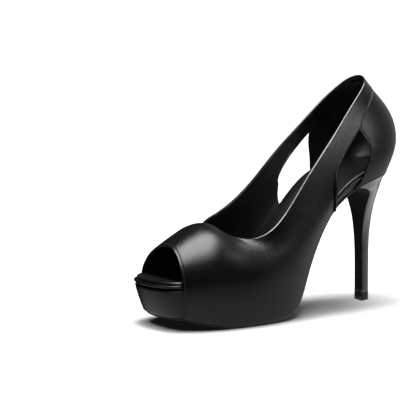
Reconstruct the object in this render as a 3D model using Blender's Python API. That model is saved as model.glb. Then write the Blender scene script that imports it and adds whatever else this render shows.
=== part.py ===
import bpy
import bmesh
import math
import numpy as np

# Peep toe pump, left shoe, high tapered heel on a covered platform.
# Millimetres in the tables, metres in the finished pieces. Toe to -X, heel to +X, outer side to -Y, up +Z.
MM = 0.001
ORIGIN_X = 1.482
ORIGIN_Y = 1.279

# Leather and gaps
WALL = 1.8
OVERLAY_STEP = 0.5
GAP = 0.3
WRAP_THICK = 1.3
INSOLE_THICK = 3.4
LIP_THICK = 4.4
OUTSOLE_THICK = 1.8
OUTSOLE_INSET = 2.0

# Share of the section height that lies under the widest line
LOW_SHARE = 0.4

# Section rails of the last from toe to heel: foot line, widest line, top line, lean of the top edge.
# Columns: foot_x foot_y foot_z  wide_x wide_y wide_z  top_x top_y top_z  lean_deg  insole_z  fullness
OUTER_SIDE = [
    (-96.2, 24.9, 11.0, -97.4, 27.2, 33.5, -94.7, 4.0, 60.5, 0, 36.0, 1.0),
    (-84.0, 31.0, 7.6, -85.0, 33.5, 34.0, -82.5, 4.0, 68.0, 0, 34.0, 1.0),
    (-69.0, 35.2, 4.5, -70.5, 37.7, 34.4, -70.0, 4.0, 73.8, 0, 33.0, 1.0),
    (-53.0, 37.0, 2.1, -55.0, 39.5, 35.0, -60.0, 3.0, 74.8, 5, 33.0, 1.0),
    (-38.0, 37.6, 2.1, -40.0, 40.2, 36.3, -52.5, 12.5, 69.5, 24, 33.0, 1.0),
    (-22.0, 37.0, 2.1, -26.0, 39.6, 38.5, -42.0, 22.5, 64.8, 40, 33.0, 1.0),
    (-6.0, 34.5, 5.0, -12.0, 37.7, 42.5, -28.5, 28.5, 66.5, 54, 35.0, 1.0),
    (6.0, 30.2, 14.5, 1.0, 34.8, 51.0, -14.5, 30.0, 75.5, 65, 39.0, 1.0),
    (17.0, 26.3, 37.5, 14.0, 31.6, 65.5, 0.0, 29.0, 91.5, 72, 52.5, 1.0),
    (30.0, 23.5, 62.0, 30.0, 29.0, 85.0, 17.0, 27.5, 112.5, 76, 73.5, 1.0),
    (44.0, 24.0, 82.0, 46.0, 29.0, 102.0, 37.0, 25.5, 135.5, 74, 93.0, 1.0),
    (61.0, 26.5, 95.0, 62.5, 30.0, 114.0, 55.0, 22.0, 156.0, 70, 105.5, 1.0),
    (78.0, 26.5, 101.0, 82.0, 29.0, 121.0, 69.0, 17.5, 169.5, 64, 110.5, 1.0),
    (93.0, 20.0, 105.0, 100.0, 22.0, 128.0, 77.5, 10.5, 177.0, 58, 112.5, 1.0),
    (100.0, 0.0, 107.0, 110.5, 0.0, 132.0, 80.5, 0.0, 180.0, 56, 113.5, 1.0),
]
INNER_SIDE = [
    (-97.4, 27.4, 10.0, -99.8, 31.0, 33.5, -94.7, 4.0, 60.5, 0, 34.5, 0.78),
    (-87.0, 32.0, 7.2, -88.0, 35.0, 34.0, -82.5, 4.0, 68.0, 0, 33.5, 0.7),
    (-72.0, 34.4, 4.5, -73.0, 37.4, 34.4, -70.0, 4.0, 73.8, 0, 33.0, 0.76),
    (-56.0, 34.5, 2.1, -58.0, 37.5, 35.5, -60.0, 3.0, 74.8, 5, 33.0, 0.9),
    (-42.0, 34.0, 2.1, -44.0, 37.0, 37.5, -54.5, 14.5, 72.6, 24, 33.0, 1.0),
    (-28.0, 32.5, 2.1, -31.0, 36.0, 41.0, -44.5, 25.2, 73.8, 42, 34.0, 1.0),
    (-15.0, 29.2, 8.0, -17.0, 33.4, 49.0, -30.0, 29.5, 79.0, 58, 37.0, 1.0),
    (-2.0, 25.8, 27.0, -4.0, 31.2, 61.0, -14.5, 31.0, 88.0, 70, 45.0, 1.0),
    (13.0, 23.2, 54.5, 12.0, 29.6, 80.0, 2.0, 30.5, 102.5, 74, 66.5, 1.0),
    (28.0, 22.5, 75.0, 27.5, 28.5, 96.0, 20.0, 29.0, 121.5, 76, 86.0, 1.0),
    (44.0, 24.0, 89.5, 44.0, 28.5, 108.0, 40.0, 26.0, 141.0, 74, 100.5, 1.0),
    (61.0, 26.5, 97.5, 61.5, 29.5, 115.5, 57.0, 22.5, 158.0, 70, 107.5, 1.0),
    (78.0, 26.5, 102.0, 82.0, 28.5, 121.5, 69.5, 17.5, 170.0, 64, 111.0, 1.0),
    (93.0, 20.0, 105.0, 100.0, 22.0, 128.0, 77.5, 10.5, 177.3, 58, 112.5, 1.0),
    (100.0, 0.0, 107.0, 110.5, 0.0, 132.0, 80.5, 0.0, 180.0, 56, 113.5, 1.0),
]
LAST_ROW = len(OUTER_SIDE) - 1
THROAT_ROW = 3

# Side cut-outs, as section row and height share. Front edge runs from the foot line up to the point,
# the band edge runs from the point to the back seam, the rear edge from the foot line up to the point.
FRONT_EDGE = {
    -1: [(9.75, 0.0), (9.58, 0.16), (9.44, 0.357), (9.46, 0.47), (9.56, 0.537), (9.68, 0.583),
         (9.85, 0.617), (10.12, 0.65), (10.43, 0.672), (10.80, 0.69), (11.12, 0.705)],
    1: [(8.72, 0.0), (8.60, 0.16), (8.55, 0.333), (8.60, 0.453), (8.74, 0.557), (8.86, 0.59),
        (9.03, 0.617), (9.35, 0.655), (9.75, 0.685), (10.16, 0.703), (10.46, 0.712)],
}
BAND_EDGE = {
    -1: [(11.12, 0.705), (11.51, 0.768), (11.92, 0.803), (12.32, 0.828), (12.78, 0.85),
         (13.40, 0.868), (14.0, 0.875)],
    1: [(10.46, 0.712), (11.00, 0.765), (11.60, 0.800), (12.20, 0.828), (12.78, 0.85),
        (13.40, 0.868), (14.0, 0.875)],
}
REAR_EDGE = {
    -1: [(10.88, 0.0), (11.08, 0.10), (11.24, 0.253), (11.36, 0.407), (11.42, 0.487),
         (11.32, 0.567), (11.12, 0.705)],
    1: [(10.52, 0.0), (10.50, 0.12), (10.48, 0.24), (10.49, 0.41), (10.43, 0.533),
        (10.42, 0.643), (10.46, 0.712)],
}

# Toe of the platform between the two upright seams
TOE_CENTRE_Y = 9.0
TOE_FOOT_X = -105.0
TOE_FOOT_Z = 9.8
TOE_TOP_X = -112.2
TOE_TOP_Z = 34.8
LIP_X = -112.9

# Heel rings. Columns: breast_z back_z breast_x back_x half_width
HEEL_RINGS = [
    (6.8, 6.8, 80.3, 89.6, 4.8),
    (19.0, 19.0, 80.2, 89.6, 4.9),
    (39.0, 39.0, 80.0, 89.7, 5.0),
    (55.0, 55.0, 79.7, 90.2, 6.1),
    (69.0, 69.0, 79.4, 91.7, 8.8),
    (76.0, 76.6, 79.1, 92.6, 11.4),
    (83.0, 84.5, 78.6, 93.9, 15.0),
    (89.5, 92.5, 77.2, 95.6, 19.2),
    (92.6, 99.5, 72.0, 97.5, 23.4),
]
HEEL_FRONT_ROW = 11.05
TIP_HEIGHT = 6.5
OUTSOLE_END_ROW = 10.95


def clear_scene():
    for ob in list(bpy.data.objects):
        bpy.data.objects.remove(ob, do_unlink=True)


def spline(rows, s):
    # cubic spline through the rows; free at the toe, mirrored across the back seam at the heel
    y = np.asarray(rows, float)
    n = len(y)
    a = np.zeros((n, n))
    b = np.zeros_like(y)
    a[0, 0] = 2
    a[0, 1] = 1
    b[0] = 3 * (y[1] - y[0])
    for i in range(1, n - 1):
        a[i, i - 1] = 1
        a[i, i] = 4
        a[i, i + 1] = 1
        b[i] = 3 * (y[i + 1] - y[i - 1])
    a[-1, -1] = 1
    free = a.copy()
    free[-1, -1] = 2
    free[-1, -2] = 1
    free_b = b.copy()
    free_b[-1] = 3 * (y[-1] - y[-2])
    d = np.linalg.solve(a, b)
    d_free = np.linalg.solve(free, free_b)
    for col in (1, 4, 7):
        d[:, col] = d_free[:, col]
    s = np.clip(np.asarray(s, float), 0, n - 1)
    i = np.minimum(s.astype(int), n - 2)
    u = (s - i)[..., None]
    c2 = 3 * (y[i + 1] - y[i]) - 2 * d[i] - d[i + 1]
    c3 = 2 * (y[i] - y[i + 1]) + d[i] + d[i + 1]
    return y[i] + u * d[i] + u * u * c2 + u ** 3 * c3


def section(s, side):
    r = spline(OUTER_SIDE if side < 0 else INNER_SIDE, s)
    m = np.array([1, side, 1.0])
    return r[..., 0:3] * m, r[..., 3:6] * m, r[..., 6:9] * m, np.radians(r[..., 9]), r[..., 10], r[..., 11:12]


def bezier(p, u):
    u = u[..., None]
    v = 1 - u
    return p[0] * v ** 3 + 3 * p[1] * u * v * v + 3 * p[2] * u * u * v + p[3] * u ** 3


def surface(s, t, side):
    # outer face of the last at section row s and height share t
    s, t = np.broadcast_arrays(np.asarray(s, float), np.asarray(t, float))
    foot, wide, top, lean, insole_z, full = section(s, side)
    flat = np.array([1, 1, 0])
    up = np.array([0, 0, 1.0])
    h1 = (wide - foot)[..., 2:3]
    h2 = (top - wide)[..., 2:3]
    low = [foot, foot + (wide - foot) * flat * 0.45 + up * h1 * 0.3, wide - up * h1 * 0.35, wide]
    inward = (top - wide) * flat
    reach = np.linalg.norm(inward, axis=-1, keepdims=True) + 1e-9
    length = np.linalg.norm(top - wide, axis=-1, keepdims=True)
    end = inward / reach * np.cos(lean)[..., None] + up * np.sin(lean)[..., None]
    fl = np.cos(lean)[..., None]
    arm = (reach * 0.55 * fl + length * 0.33 * (1 - fl)) * full
    high = [wide, wide + up * h2 * (0.36 + 0.22 * fl) * full, top - end * arm, top]
    a = bezier(low, np.clip(t / LOW_SHARE, 0, 1))
    b = bezier(high, np.clip((t - LOW_SHARE) / (1 - LOW_SHARE), 0, 1))
    return np.where((t < LOW_SHARE)[..., None], a, b)


def outward(s, t, side):
    s, t = np.broadcast_arrays(np.asarray(s, float), np.asarray(t, float))
    h = 0.004
    ds = surface(np.minimum(s + h, LAST_ROW), t, side) - surface(np.maximum(s - h, 0), t, side)
    dt = surface(s, np.minimum(t + h, 1), side) - surface(s, np.maximum(t - h, 0), side)
    n = np.cross(ds, dt) * -side
    n[s >= LAST_ROW - 1e-6, 1] = 0
    return n / np.linalg.norm(n, axis=-1, keepdims=True)


def skin(s, t, side, offset):
    return surface(s, t, side) + outward(s, t, side) * offset


def share_at(s, z, side):
    # height share at which the section reaches height z
    s = np.atleast_1d(np.asarray(s, float))
    z = np.atleast_1d(np.asarray(z, float))
    grid = np.linspace(0, 0.8, 161)
    out = []
    for si, zi in zip(s, z):
        out.append(np.interp(zi, surface(np.full_like(grid, si), grid, side)[:, 2], grid))
    return np.array(out)


def along(points, n):
    # n + 1 points evenly spaced on a smooth curve through the given row and share pairs
    p = np.asarray(points, float)
    scale = np.array([17.0, 75.0])
    d = np.concatenate([[0], np.cumsum(np.linalg.norm(np.diff(p * scale, axis=0), axis=1))])
    slope = np.gradient(p, d, axis=0)
    q = np.linspace(0, d[-1], n + 1)
    i = np.clip(np.searchsorted(d, q) - 1, 0, len(p) - 2)
    w = (d[i + 1] - d[i])
    u = ((q - d[i]) / w)[:, None]
    w = w[:, None]
    h = (2 * u ** 3 - 3 * u ** 2 + 1) * p[i] + (u ** 3 - 2 * u ** 2 + u) * w * slope[i]
    return h + (3 * u ** 2 - 2 * u ** 3) * p[i + 1] + (u ** 3 - u ** 2) * w * slope[i + 1]


def make_piece(name, verts, faces, smooth=True):
    v = np.asarray(verts, float) + np.array([ORIGIN_X, ORIGIN_Y, 0])
    mesh = bpy.data.meshes.new(name)
    mesh.from_pydata([tuple(p) for p in v * MM], [], faces)
    ob = bpy.data.objects.new(name, mesh)
    bpy.context.scene.collection.objects.link(ob)
    bm = bmesh.new()
    bm.from_mesh(mesh)
    bmesh.ops.remove_doubles(bm, verts=bm.verts, dist=0.00001)
    bmesh.ops.triangulate(bm, faces=bm.faces)
    bmesh.ops.recalc_face_normals(bm, faces=bm.faces)
    if bm.calc_volume(signed=True) < 0:
        bmesh.ops.reverse_faces(bm, faces=bm.faces)
    for f in bm.faces:
        f.smooth = smooth
    bm.to_mesh(mesh)
    bm.free()
    return ob


def layered(name, outer, inner, crown=None, smooth=True):
    # stacked outlines: outer[level][station] and inner[level][station] are the two edges of each outline
    outer = np.asarray(outer, float)
    inner = np.asarray(inner, float)
    levels, stations = outer.shape[:2]
    verts = []
    index = {}

    def add(key, p):
        index[key] = len(verts)
        verts.append(p)

    for k in range(levels):
        for j in range(stations):
            add((k, j, 0), outer[k, j])
            if np.linalg.norm(outer[k, j] - inner[k, j]) < 1e-6:
                index[(k, j, 1)] = index[(k, j, 0)]
            else:
                add((k, j, 1), inner[k, j])
    faces = []

    def face(keys):
        ids = []
        for key in keys:
            if index[key] not in ids:
                ids.append(index[key])
        if len(ids) > 2:
            faces.append(ids)

    for k in range(levels - 1):
        for j in range(stations - 1):
            for e in (0, 1):
                face([(k, j, e), (k, j + 1, e), (k + 1, j + 1, e), (k + 1, j, e)])
        for j in (0, stations - 1):
            face([(k, j, 0), (k, j, 1), (k + 1, j, 1), (k + 1, j, 0)])
    for k in (0, levels - 1):
        drop = 0.0 if crown is None else crown[0 if k == 0 else 1]
        mids = []
        for j in range(stations):
            a = verts[index[(k, j, 0)]]
            b = verts[index[(k, j, 1)]]
            mids.append(index[(k, j, 0)])
            if index[(k, j, 0)] != index[(k, j, 1)] and 0 < j < stations - 1:
                mids[j] = len(verts)
                verts.append((a + b) / 2 + np.array([0, 0, drop]))
        for j in range(stations - 1):
            a0 = index[(k, j, 0)]
            a1 = index[(k, j + 1, 0)]
            b0 = index[(k, j, 1)]
            b1 = index[(k, j + 1, 1)]
            m0 = mids[j]
            m1 = mids[j + 1]
            for quad in ([a0, a1, m1, m0], [m0, m1, b1, b0]):
                ids = [q for i, q in enumerate(quad) if q not in quad[:i]]
                if len(ids) > 2:
                    faces.append(ids)
    return make_piece(name, verts, faces, smooth)


def toe_arc(centre, end, n):
    # quarter oval from the foremost point of the toe out to the seam, flatter on the outer side
    phi = np.linspace(0, math.pi / 2, n + 1)
    power = 1.25 if end[1] < 0 else 1.0
    c = np.asarray(centre, float)
    e = np.asarray(end, float)
    x = e[0] + (c[0] - e[0]) * np.cos(phi) ** power
    y = c[1] + (e[1] - c[1]) * np.sin(phi)
    z = c[2] + (e[2] - c[2]) * np.sin(phi) ** 2
    return np.stack([x, y, z], 1)


def build_upper():
    shares = np.array([0, 0.13, 0.27, 0.4, 0.5, 0.6, 0.7, 0.8, 0.9, 1.0])
    n_vamp = 24
    n_front = 10
    n_band = 10
    n_counter = 7
    verts = []
    twin = {}
    outer_faces = []
    inner_faces = []

    def add_pair(p_out, p_in):
        verts.append(p_out)
        verts.append(p_in)
        twin[len(verts) - 2] = len(verts) - 1
        return len(verts) - 2

    grid = {}
    counter = {}
    for side in (-1, 1):
        front = along(FRONT_EDGE[side], n_front)
        band = along(BAND_EDGE[side], n_band)
        rows = [i * THROAT_ROW / 6 for i in range(7)]
        end_row = FRONT_EDGE[side][0][0]
        rest = n_vamp - 6
        rows += [THROAT_ROW + (end_row - THROAT_ROW) * (i + 1) / rest for i in range(rest)]
        lower = [(s, 0.0) for s in rows] + [tuple(p) for p in front[1:]] + [tuple(p) for p in band[1:]]
        top_w = end_row - 0.55
        top_v = FRONT_EDGE[side][-1][0] + 0.15
        upper = list(rows[:7])
        upper += [THROAT_ROW + (top_w - THROAT_ROW) * (i + 1) / rest for i in range(rest)]
        upper += [top_w + (top_v - top_w) * (i + 1) / n_front for i in range(n_front)]
        upper += [top_v + (LAST_ROW - top_v) * (i + 1) / n_band for i in range(n_band)]
        count = len(lower)
        ids = np.zeros((count, len(shares)), int)
        for i in range(count):
            s = lower[i][0] + (upper[i] - lower[i][0]) * shares
            t = lower[i][1] + (1 - lower[i][1]) * shares
            p_out = skin(s, t, side, 0.0)
            p_in = skin(s, t, side, -WALL)
            for j in range(len(shares)):
                if i == count - 1 and side == 1:
                    ids[i, j] = grid[-1][i, j]
                else:
                    ids[i, j] = add_pair(p_out[j], p_in[j])
        grid[side] = ids
        for i in range(count - 1):
            for j in range(len(shares) - 1):
                q = [ids[i, j], ids[i + 1, j], ids[i + 1, j + 1], ids[i, j + 1]]
                outer_faces.append(q if side < 0 else q[::-1])
                inner_faces.append([twin[k] for k in (q[::-1] if side < 0 else q)])
        first = n_vamp + n_front
        rear = along(REAR_EDGE[side], n_counter)
        low_rows = np.linspace(rear[0][0], LAST_ROW, n_band + 1)
        cid = np.zeros((n_band + 1, n_counter + 1), int)
        for i in range(n_band + 1):
            f = i / n_band
            g = np.arange(n_counter + 1) / n_counter
            ruled = np.stack([low_rows[i] + (band[i][0] - low_rows[i]) * g, band[i][1] * g], 1)
            base = np.stack([rear[0][0] + (band[0][0] - rear[0][0]) * g, band[0][1] * g], 1)
            st = ruled + (1 - f) * (rear - base)
            p_out = skin(st[:, 0], st[:, 1], side, -OVERLAY_STEP)
            p_in = skin(st[:, 0], st[:, 1], side, -WALL)
            for j in range(n_counter + 1):
                if i == n_band and side == 1:
                    cid[i, j] = counter[-1][i, j]
                elif j == n_counter:
                    verts.append(p_out[j])
                    cid[i, j] = len(verts) - 1
                    twin[cid[i, j]] = twin[ids[first + i, 0]]
                else:
                    cid[i, j] = add_pair(p_out[j], p_in[j])
        counter[side] = cid
        for i in range(n_band):
            for j in range(n_counter):
                q = [cid[i, j], cid[i + 1, j], cid[i + 1, j + 1], cid[i, j + 1]]
                outer_faces.append(q if side < 0 else q[::-1])
                inner_faces.append([twin[k] for k in (q[::-1] if side < 0 else q)])
            q = [cid[i, n_counter], cid[i + 1, n_counter], ids[first + i + 1, 0], ids[first + i, 0]]
            outer_faces.append(q if side < 0 else q[::-1])
    for i in range(6):
        q = [grid[-1][i, -1], grid[-1][i + 1, -1], grid[1][i + 1, -1], grid[1][i, -1]]
        outer_faces.append(q)
        inner_faces.append([twin[k] for k in q[::-1]])
    edges = {}
    for f in outer_faces:
        for a, b in zip(f, f[1:] + f[:1]):
            edges[(a, b)] = 1
    rims = []
    for a, b in edges:
        if (b, a) not in edges:
            ring = [b, a, twin[a], twin[b]]
            ids = [q for i, q in enumerate(ring) if q not in ring[:i]]
            rims.append(ids)
    faces = []
    for f in outer_faces + inner_faces + rims:
        faces.append([int(k) for k in f])
    make_piece("upper", verts, faces)


def inset_edge(s, z, side, inset):
    # point at height z, moved level inward until it lies the inset distance inside the outer face
    t = share_at(s, z, side)
    level = outward(s, t, side) * np.array([1, 1, 0])
    m = np.maximum(np.linalg.norm(level, axis=-1, keepdims=True), 0.4)
    p = surface(s, t, side) - level / m * inset / m
    p[:, 2] = z
    p[np.asarray(s) >= LAST_ROW - 1e-6, 1] = 0
    return p


def insole_edge(s, side, drop, inset):
    return inset_edge(s, section(s, side)[4] - drop, side, inset)


def insole_depth(s):
    # the lip at the toe is thicker than the rest of the insole
    return INSOLE_THICK + (LIP_THICK - INSOLE_THICK) * np.clip(1 - np.asarray(s) / 0.8, 0, 1)


def build_toe_wrap():
    levels_out = []
    levels_in = []
    for side in (-1, 1):
        shell = []
        for f in (0.0, 0.33, 0.67, 1.0):
            z_top = insole_edge(np.array([0.0]), side, LIP_THICK + GAP, 0.0)[0][2]
            t = share_at(0.0, z_top, side)[0] * f
            end = surface(0.0, t, side)
            end[0] += -0.4
            end[1] += -side * 0.35
            cz = TOE_FOOT_Z + (TOE_TOP_Z - LIP_THICK - GAP - TOE_FOOT_Z) * f
            cx = TOE_FOOT_X + (TOE_TOP_X - TOE_FOOT_X) * f
            face = toe_arc((cx, TOE_CENTRE_Y, cz), end, 8)
            back_end = end + np.array([0, -side * WRAP_THICK, 0])
            back = toe_arc((cx + WRAP_THICK, TOE_CENTRE_Y, cz), back_end, 8)
            shell.append((face, back))
        levels_out.append(shell)
    verts = []
    ring = []
    for k in range(4):
        face_a, back_a = levels_out[0][k]
        face_b, back_b = levels_out[1][k]
        face = np.concatenate([face_a[::-1], face_b[1:]])
        back = np.concatenate([back_a[::-1], back_b[1:]])
        ring.append((face, back))
    n = len(ring[0][0])
    for k in range(4):
        verts.extend(ring[k][0])
        verts.extend(ring[k][1])
    faces = []
    for k in range(3):
        a = k * 2 * n
        b = (k + 1) * 2 * n
        for j in range(n - 1):
            faces.append([a + j, a + j + 1, b + j + 1, b + j])
            faces.append([a + n + j, b + n + j, b + n + j + 1, a + n + j + 1])
        for j in (0, n - 1):
            faces.append([a + j, b + j, b + n + j, a + n + j])
    for k in (0, 3):
        a = k * 2 * n
        for j in range(n - 1):
            faces.append([a + j, a + n + j, a + n + j + 1, a + j + 1])
    make_piece("toe_wrap", verts, faces)


def plan_rows(end):
    rows = np.concatenate([np.linspace(0.04, 8, 25), np.linspace(8.3, LAST_ROW, 20)])
    return np.append(rows[rows < end - 0.1], end)


def build_platform():
    rows = plan_rows(LAST_ROW)
    inset = WALL + GAP
    outer = []
    inner = []
    for side, store in ((-1, outer), (1, inner)):
        for f in (0.0, 0.2, 0.45, 0.7, 1.0):
            top = insole_edge(rows, side, insole_depth(rows) + GAP, 0.0)
            foot = section(rows, side)[0]
            z = foot[:, 2] + (top[:, 2] - foot[:, 2]) * f
            p = inset_edge(rows, z, side, inset)
            cx = TOE_FOOT_X + (TOE_TOP_X - TOE_FOOT_X) * f + WRAP_THICK + GAP
            cz = TOE_FOOT_Z + (TOE_TOP_Z - LIP_THICK - GAP - TOE_FOOT_Z) * f
            end = p[0].copy()
            end[0] -= 0.3
            arc = toe_arc((cx, TOE_CENTRE_Y, cz), end, 7)
            store.append(np.concatenate([arc, p]))
    layered("platform", outer, inner)


def build_insole():
    rows = plan_rows(LAST_ROW)
    inset = WALL + GAP + 0.2
    outer = []
    inner = []
    for side, store in ((-1, outer), (1, inner)):
        for lip_drop in (LIP_THICK, 0.0):
            drop = insole_depth(rows) if lip_drop else 0.0
            p = insole_edge(rows, side, drop, inset)
            seam = insole_edge(np.array([0.0]), side, lip_drop, 0.0)[0]
            seam = seam + np.array([-0.45, side * 0.2, 0])
            shoulder = seam + np.array([0, -side * (inset + 0.4), 0])
            shoulder[0] = min(shoulder[0], p[0][0] - 0.4)
            arc = toe_arc((LIP_X, TOE_CENTRE_Y, TOE_TOP_Z - lip_drop), seam, 9)
            store.append(np.concatenate([arc, shoulder[None], p]))
    layered("insole", outer, inner, crown=(0.0, -0.8))


def build_outsole():
    rows = plan_rows(OUTSOLE_END_ROW)
    outer = []
    inner = []
    for side, store in ((-1, outer), (1, inner)):
        for thick in (OUTSOLE_THICK + GAP, GAP + 0.1):
            p = skin(rows, 0.0, side, -OUTSOLE_INSET)
            foot = section(rows, side)[0]
            p[:, 2] = foot[:, 2] - thick
            arc = toe_arc((TOE_FOOT_X + OUTSOLE_INSET, TOE_CENTRE_Y, TOE_FOOT_Z - thick), p[0], 7)
            q = np.concatenate([arc[:-1], p])
            if thick > 1:
                q[:, 2] = np.maximum(q[:, 2], 0)
            else:
                q[:, 2] = np.maximum(q[:, 2], OUTSOLE_THICK - 0.1)
            store.append(q)
    layered("outsole", outer, inner)


def heel_ring(row, n):
    front_z, back_z, front_x, back_x, half = row
    phi = np.linspace(0, math.pi / 2, n + 1)
    x = front_x + (back_x - front_x) * np.sin(phi)
    y = half * np.cos(phi)
    y[-1] = 0
    z = front_z + (back_z - front_z) * np.sin(phi)
    return np.stack([x, -y, z], 1), np.stack([x, y, z], 1)


def build_heel():
    n = 10
    outer = []
    inner = []
    for row in HEEL_RINGS:
        a, b = heel_ring(row, n)
        outer.append(a)
        inner.append(b)
    phi = np.linspace(0, 1, n + 1)
    rows = HEEL_FRONT_ROW + (LAST_ROW - HEEL_FRONT_ROW) * phi
    for side, store in ((-1, outer), (1, inner)):
        p = skin(rows, 0.0, side, -GAP)
        p[:, 2] = section(rows, side)[0][:, 2] - GAP
        p[-1, 1] = 0
        store.append(p)
    layered("heel", outer, inner)


def build_heel_tip():
    first = HEEL_RINGS[0]
    outer = []
    inner = []
    for z in (0.0, TIP_HEIGHT):
        a, b = heel_ring((z, z, first[2], first[3], first[4]), 10)
        outer.append(a)
        inner.append(b)
    layered("heel_tip", outer, inner)


clear_scene()
build_upper()
build_toe_wrap()
build_platform()
build_insole()
build_outsole()
build_heel()
build_heel_tip()
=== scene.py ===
import math
import bmesh
import bpy
import numpy as np
from mathutils import Matrix, Vector


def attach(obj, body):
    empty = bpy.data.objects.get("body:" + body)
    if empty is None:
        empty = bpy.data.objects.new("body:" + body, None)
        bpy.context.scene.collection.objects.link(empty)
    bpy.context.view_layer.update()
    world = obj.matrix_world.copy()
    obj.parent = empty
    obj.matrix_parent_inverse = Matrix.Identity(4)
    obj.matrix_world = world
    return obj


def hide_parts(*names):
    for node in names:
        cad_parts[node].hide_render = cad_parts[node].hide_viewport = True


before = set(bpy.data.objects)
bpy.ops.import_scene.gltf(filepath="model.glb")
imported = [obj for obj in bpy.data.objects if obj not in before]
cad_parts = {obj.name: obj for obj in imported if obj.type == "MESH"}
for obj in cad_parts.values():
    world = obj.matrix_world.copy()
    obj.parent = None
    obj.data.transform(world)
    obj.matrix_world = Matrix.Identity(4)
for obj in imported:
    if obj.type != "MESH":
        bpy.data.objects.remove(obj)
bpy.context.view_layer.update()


# Camera
# A long lens stands low in front of the toe, on the outer side of the shoe, as in the photograph. Angles
# are in degrees, lengths in millimetres, and the scale in pixels of a 400 pixel picture per millimetre.
MM = 0.001
CAMERA_TURN = 30.5
CAMERA_HEIGHT_ANGLE = 8.7
CAMERA_ROLL = 0.4
CAMERA_DISTANCE = 1360.0
CAMERA_SCALE = 1.25
CAMERA_ASIDE = 129.2
CAMERA_DROP = -80.2
HEEL_POINT = np.array([85.982, 1.279, 0.0])
PHOTO_SIDE = 400.0
SENSOR_WIDTH = 36.0
NEAREST_SEEN = 0.05

turn = math.radians(CAMERA_TURN)
rise = math.radians(CAMERA_HEIGHT_ANGLE)
roll = math.radians(CAMERA_ROLL)
back = np.array([-math.sin(turn) * math.cos(rise), -math.cos(turn) * math.cos(rise), math.sin(rise)])
right = np.array([math.cos(turn), -math.sin(turn), 0.0])
up = np.cross(back, right)
place = HEEL_POINT - CAMERA_ASIDE * right - CAMERA_DROP * up + CAMERA_DISTANCE * back
side_axis = right * math.cos(roll) - up * math.sin(roll)
up_axis = right * math.sin(roll) + up * math.cos(roll)
camera = bpy.data.objects.new("camera", bpy.data.cameras.new("camera"))
bpy.context.scene.collection.objects.link(camera)
camera.matrix_world = Matrix([
    [side_axis[i], up_axis[i], back[i], place[i] * MM] for i in range(3)
] + [[0, 0, 0, 1]])
camera.data.sensor_width = SENSOR_WIDTH
camera.data.lens = CAMERA_SCALE * CAMERA_DISTANCE / PHOTO_SIDE * SENSOR_WIDTH
camera.data.clip_start = NEAREST_SEEN
bpy.context.scene.camera = camera


# Studio
# A pale table under a wide soft box, in front of a lit white backdrop. Black cloths stand off camera, so
# that leather mirrors a pale table low down, darkness at the horizon and a soft highlight from above.
def linear(code):
    """The linear value of an sRGB hex colour."""
    parts = [int(code[i:i + 2], 16) / 255 for i in (1, 3, 5)]
    return tuple(c / 12.92 if c <= 0.04045 else ((c + 0.055) / 1.055) ** 2.4 for c in parts) + (1.0,)


def add(tree, kind, settings=None, **links):
    """Adds a node, sets its properties and sockets, and links its inputs."""
    node = tree.nodes.new(kind)
    for key, value in (settings or {}).items():
        if isinstance(key, int) or key in node.inputs:
            node.inputs[key].default_value = value
        else:
            setattr(node, key, value)
    for key, source in links.items():
        name = int(key[1:]) if key[0] == "i" and key[1:].isdigit() else key.replace("_", " ")
        tree.links.new(source, node.inputs[name])
    return node


def new_material(name):
    material = bpy.data.materials.new(name)
    material.use_nodes = True
    material.node_tree.nodes.clear()
    return material, material.node_tree


def new_object(name, data):
    ob = bpy.data.objects.new(name, data)
    bpy.context.scene.collection.objects.link(ob)
    return ob


TABLE_GREY = "#989897"
TABLE_HALF = 3.0
SHADOW_CENTRE = (-0.05, -0.02, 0.0)
GLOW_STARTS = 0.1
GLOW_IS_FULL = 0.22

# Matt paint spreads the light evenly. It is a pale grey, lit until it reads as white, so that the shadow
# stays deep. Away from the middle of the shadow it glows with painted light, which washes out the shadow
# near the heel and keeps the table white all the way to the backdrop.
table_paint_and_glow, tree = new_material("matt pale table paint with painted glow")
spot = add(tree, "ShaderNodeTexCoord").outputs["Object"]
away = add(tree, "ShaderNodeVectorMath", {"operation": "DISTANCE", 1: SHADOW_CENTRE}, i0=spot)
fade = add(tree, "ShaderNodeMapRange", {
    "interpolation_type": "SMOOTHSTEP", "From Min": GLOW_STARTS, "From Max": GLOW_IS_FULL,
    "To Min": 0.0, "To Max": 1.0,
}, Value=away.outputs["Value"])
shader = add(tree, "ShaderNodeBsdfDiffuse", {"Color": linear(TABLE_GREY)})
glow = add(tree, "ShaderNodeEmission", {"Color": (1, 1, 1, 1)}, Strength=fade.outputs[0])
both = add(tree, "ShaderNodeAddShader", i0=shader.outputs[0], i1=glow.outputs[0])
add(tree, "ShaderNodeOutputMaterial", Surface=both.outputs[0])
mesh = bpy.data.meshes.new("table")
mesh.from_pydata([
    (-TABLE_HALF, -TABLE_HALF, 0), (TABLE_HALF, -TABLE_HALF, 0),
    (TABLE_HALF, TABLE_HALF, 0), (-TABLE_HALF, TABLE_HALF, 0),
], [], [range(4)])
mesh.materials.append(table_paint_and_glow)
ob = new_object("table", mesh)
ob.visible_glossy = False

# A plain white cloth, lit evenly from behind, that only the camera sees.
backdrop_white, tree = new_material("lit white backdrop")
glow = add(tree, "ShaderNodeEmission", {"Color": (1, 1, 1, 1), "Strength": 1.0})
add(tree, "ShaderNodeOutputMaterial", Surface=glow.outputs[0])
bm = bmesh.new()
bmesh.ops.create_uvsphere(bm, u_segments=48, v_segments=24, radius=TABLE_HALF)
mesh = bpy.data.meshes.new("backdrop")
bm.to_mesh(mesh)
bm.free()
mesh.materials.append(backdrop_white)
backdrop = new_object("backdrop", mesh)
backdrop.visible_glossy = False
backdrop.visible_diffuse = False
backdrop.visible_shadow = False
backdrop.visible_transmission = False


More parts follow.
